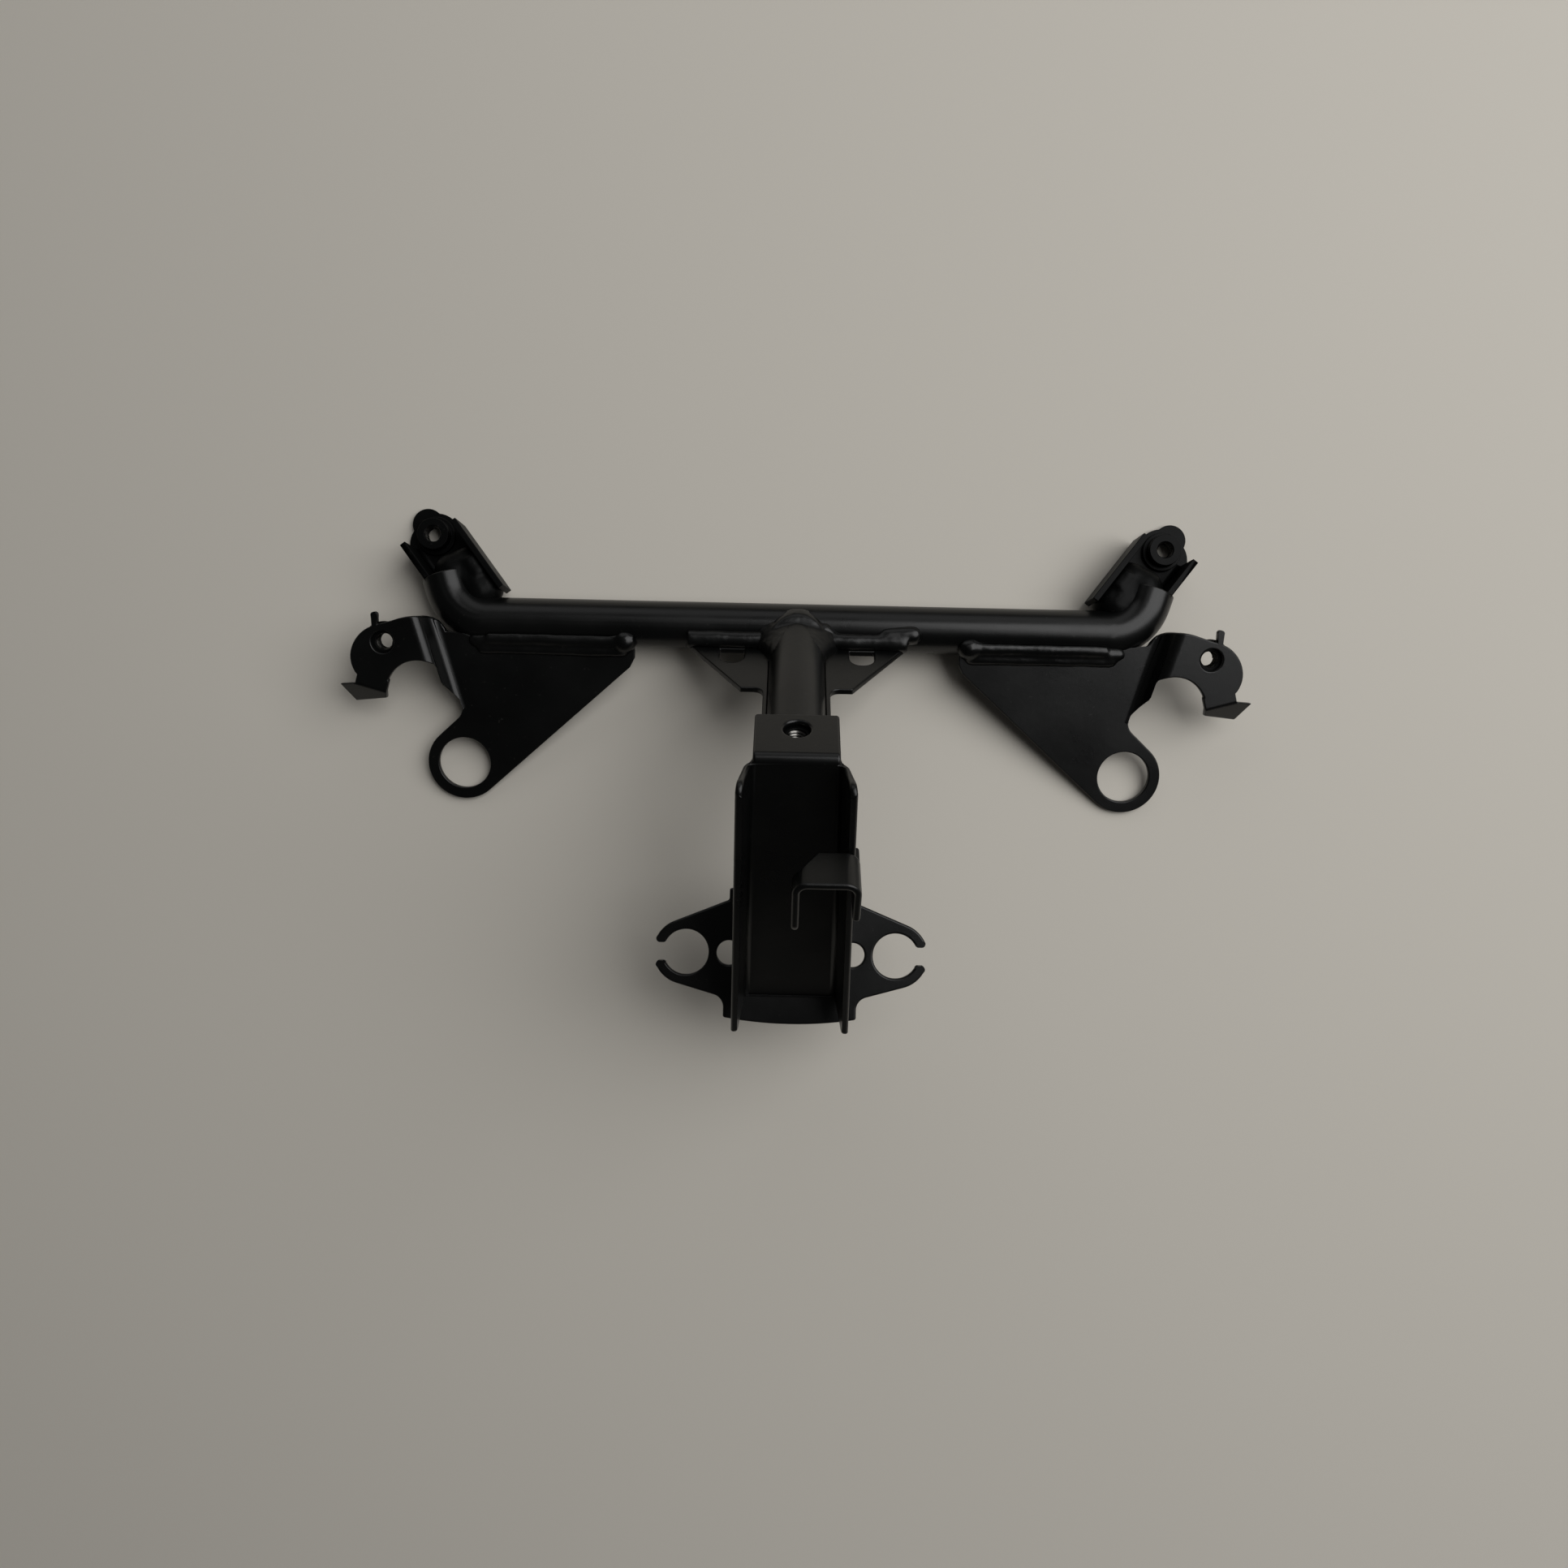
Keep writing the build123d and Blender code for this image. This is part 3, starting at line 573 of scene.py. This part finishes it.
LUMPS = {
    "stem_weld": [add_saddle()],
    "right_gusset_weld": add_runs(GUSSET_RUNS, RIGHT),
    "left_plate_weld": add_runs(PLATE_RUNS, LEFT),
    "right_plate_weld": add_runs(PLATE_RUNS, RIGHT),
    "left_end_weld": add_runs(END_RUNS, LEFT),
    "right_end_weld": add_runs(END_RUNS, RIGHT),
}
print("lumps:", {name: len(lumps) for name, lumps in LUMPS.items()})

# %% Melt the beads and their lumps together
VOXEL = 0.6 * MM
FLOW_STEPS = 18
SLOW_SIZE = 8.0 * MM
SLOW_HEIGHT = 0.32 * MM
FINE_SIZE = 1.7 * MM
FINE_HEIGHT = 0.07 * MM


def melt(name):
    """One closed skin round a copy of a CAD bead and the lumps that belong to it."""
    bead = copy_node(name, "_bead")
    bpy.ops.object.mode_set(mode="OBJECT")
    for piece in LUMPS.get(name, []):
        piece.select_set(True)
    bpy.ops.object.join()
    skin = bead.modifiers.new("skin", "REMESH")
    skin.mode = "VOXEL"
    skin.voxel_size = VOXEL
    skin.use_smooth_shade = True
    bpy.ops.object.modifier_apply(modifier="skin")
    flow = bead.modifiers.new("flow", "SMOOTH")
    flow.iterations = FLOW_STEPS
    bpy.ops.object.modifier_apply(modifier="flow")
    return bead


def roughen(bead):
    """Raise and lower the skin in slow swells and fine ripples."""
    for vertex in bead.data.vertices:
        swell = SLOW_HEIGHT * noise.noise(vertex.co / SLOW_SIZE)
        ripple = FINE_HEIGHT * noise.noise(vertex.co / FINE_SIZE)
        vertex.co += vertex.normal * (swell + ripple)
    bead.data.update()


for name in NODES:
    if kind_of(name) == "weld":
        bead = melt(name)
        roughen(bead)
        hold_inside(bead, *CAD_BOX)
        paint(bead, finish_of(name))
        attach(bead, "root")
        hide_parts(name)
        print(bead.name, "faces:", len(bead.data.polygons))

# %% [markdown]
# ## Bare threads
#
# The nuts are tapped M8, and plugs keep the coat out of their threads, so bare steel shows down
# each hole, in a dark tone that is painted shade. The CAD bore is plain, at the tapping size. A
# screw modifier turns a small triangle up the bore into one crest that winds through the nut, and
# each nut gets a copy.

# %% Mix the bare steel
# The steel's tone is far darker than bare steel: painted shade down each bore, so only small glints
# show.
PAINTED_SHADE_STEEL_TONE = (0.16, 0.155, 0.145, 1.0)
STEEL_PER_M = 900.0
STEEL_DETAIL = 2.0
STEEL_SPREAD = (0.0, 1.0)
STEEL_ROUGHNESS = (0.16, 0.36)

bare_steel_with_painted_shade = bpy.data.materials.new("bare_thread_steel")
bare_steel_with_painted_shade.use_nodes = True
steel_tree = bare_steel_with_painted_shade.node_tree
steel = steel_tree.nodes["Principled BSDF"]
steel.inputs["Base Color"].default_value = PAINTED_SHADE_STEEL_TONE
steel.inputs["Metallic"].default_value = 1.0
steel_noise = add_noise(steel_tree, (-2, 0), STEEL_PER_M, STEEL_DETAIL)
steel_rough = add_range(steel_tree, (-1, 0), steel_noise, STEEL_SPREAD)
steel_rough.inputs["To Min"].default_value = STEEL_ROUGHNESS[0]
steel_rough.inputs["To Max"].default_value = STEEL_ROUGHNESS[1]
steel_tree.links.new(steel_rough.outputs["Result"], steel.inputs["Roughness"])
print("steel:", bare_steel_with_painted_shade.name, "nodes:", len(steel_tree.nodes))

# %% Turn one thread
THREAD_PITCH = 1.25 * MM
THREAD_STEPS = 40
CREST_CORNERS = 3
CREST_HALF = 0.42 * THREAD_PITCH
CREST_HEIGHT = 0.42 * MM
CREST_SINK = 0.06 * MM
CREST_SMOOTH = math.radians(35.0)


def model_thread(radius, length):
    """One closed thread crest round the Z axis, from Z = 0 down to minus the length."""
    bpy.ops.object.select_all(action="DESELECT")
    bpy.ops.mesh.primitive_circle_add(vertices=CREST_CORNERS, radius=CREST_HALF)
    crest = bpy.context.object
    outer = radius + CREST_SINK
    corners = [(outer, CREST_HALF), (outer, -CREST_HALF), (radius - CREST_HEIGHT, 0.0)]
    for vertex, (out, up) in zip(crest.data.vertices, corners):
        vertex.co = (out, 0.0, up - length + CREST_HALF)
    screw = crest.modifiers.new("wind", "SCREW")
    screw.axis = "Z"
    screw.screw_offset = THREAD_PITCH
    screw.iterations = int((length - 2 * CREST_HALF) / THREAD_PITCH)
    screw.steps = THREAD_STEPS
    screw.render_steps = THREAD_STEPS
    bpy.ops.object.modifier_apply(modifier="wind")
    bpy.ops.object.mode_set(mode="EDIT")
    bpy.ops.mesh.select_all(action="SELECT")
    bpy.ops.mesh.fill_holes(sides=CREST_CORNERS)
    bpy.ops.mesh.select_all(action="SELECT")
    bpy.ops.mesh.normals_make_consistent(inside=False)
    bpy.ops.object.mode_set(mode="OBJECT")
    bpy.ops.object.shade_smooth_by_angle(angle=CREST_SMOOTH)
    return crest


THREADED = {name: mount for name, mount in MOUNTS.items() if mount["kind"] == "threaded_hole"}
bore = next(iter(THREADED.values()))["dims"]
crest = model_thread(bore["r_mm"] * MM, bore["length_mm"] * MM)
print("crest faces:", len(crest.data.polygons))


# %% Seat a copy in each nut
def seat_thread(crest, name, mount):
    """A copy of the crest in a nut's bore, its place applied to its mesh."""
    piece = crest.copy()
    piece.data = crest.data.copy()
    piece.name = name
    bpy.context.scene.collection.objects.link(piece)
    turn = Vector(mount["axis"]).to_track_quat("Z", "Y").to_matrix().to_4x4()
    piece.data.transform(Matrix.Translation(mount["pos_m"]) @ turn)
    paint(piece, bare_steel_with_painted_shade)
    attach(piece, "root")


for name, mount in THREADED.items():
    seat_thread(crest, name + "_crest", mount)
bpy.data.objects.remove(crest)
print("threads:", len(THREADED))

# %% [markdown]
# ## Sizes
#
# The box of the dressed bracket is measured, and so is the box of the frame, as lists of corners.

# %% Measure the sizes
boxes = {"cad": CAD_BOX, "visual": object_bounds()}
boxes = {label: [list(corner) for corner in box] for label, box in boxes.items()}
